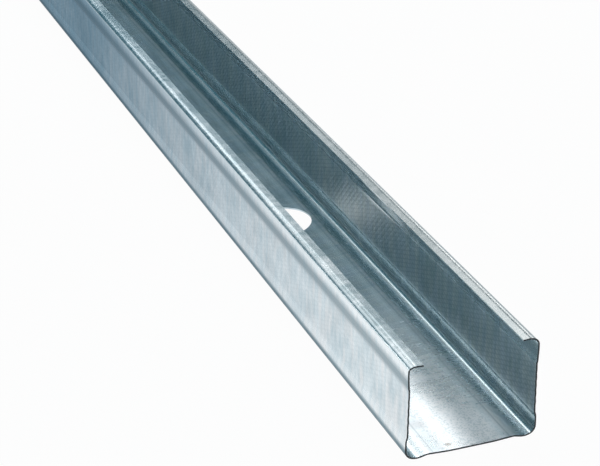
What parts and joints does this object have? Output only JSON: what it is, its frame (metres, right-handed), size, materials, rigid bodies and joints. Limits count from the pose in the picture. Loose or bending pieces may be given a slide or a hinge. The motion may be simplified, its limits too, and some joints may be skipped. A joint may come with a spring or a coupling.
{
  "type": "drywall stud",
  "caption": "Long roll-formed C section of thin galvanised sheet with lipped flanges of unequal height and round service holes along its web.",
  "frame": {"origin": "centre of the stud's length and of its outside width, at the level of the rails on the back of the web", "axes": "+X along the stud, +Y across the web towards the higher flange, +Z from the web towards the mouth"},
  "size_m": [2.5, 0.047, 0.036],
  "materials": {
    "galvanised_steel": "galvanised sheet, satin, bluish grey"
  },
  "bodies": {
    "root": {"stud": "galvanised_steel"}
  },
  "joints": []
}
